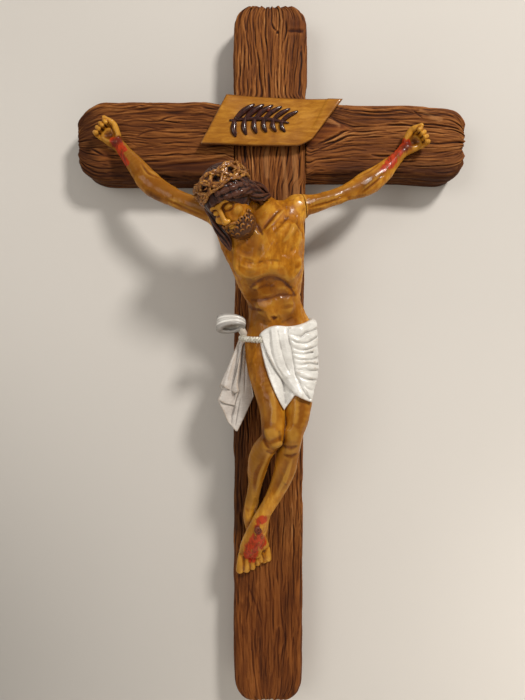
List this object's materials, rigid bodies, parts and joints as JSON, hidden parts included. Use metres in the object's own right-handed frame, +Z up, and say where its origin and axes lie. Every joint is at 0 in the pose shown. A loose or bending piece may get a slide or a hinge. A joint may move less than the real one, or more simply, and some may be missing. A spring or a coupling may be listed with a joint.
{
  "type": "wall crucifix",
  "caption": "Carved and painted wooden figure in a white loincloth, nailed to a cross of two gouged timbers under a curved scroll board, made to hang flat on a wall.",
  "frame": {"origin": "on the wall plane, at the centre of the crossing, on the crossbeam's flat back", "axes": "+Z up along the upright, +Y into the wall, +X to the viewer's right"},
  "size_m": [0.33, 0.1053, 0.602],
  "materials": {
    "timber": "dark red-brown stain, gouged, worn on the crests, satin",
    "raw_dowel": "raw",
    "skin": "ochre paint under glossy varnish, brown wash in the hollows",
    "hair": "dark brown paint, glossy varnish",
    "crown": "ochre paint, brown wash, glossy varnish",
    "cloth": "white paint, glossy varnish",
    "cord": "dull silver-gold paint",
    "scroll": "golden ochre paint under glossy varnish",
    "nail": "dark, painted red-brown"
  },
  "bodies": {
    "root": {"upright": "timber", "crossbeam": "timber", "lap_dowel_lower": "raw_dowel", "lap_dowel_upper": "raw_dowel", "scroll": "scroll", "body": "skin", "head": "skin", "right_arm": "skin", "left_arm": "skin", "hair": "hair", "beard": "hair", "crown_of_thorns": "crown", "waist_cord": "cord", "loincloth": "cloth", "cloth_tail": "cloth", "bow_loop": "cloth", "neck_dowel": "raw_dowel", "right_shoulder_dowel": "raw_dowel", "left_shoulder_dowel": "raw_dowel", "back_peg": "raw_dowel", "right_hand_nail": "nail", "left_hand_nail": "nail", "foot_nail": "nail", "scroll_nail": "nail"}
  },
  "joints": []
}
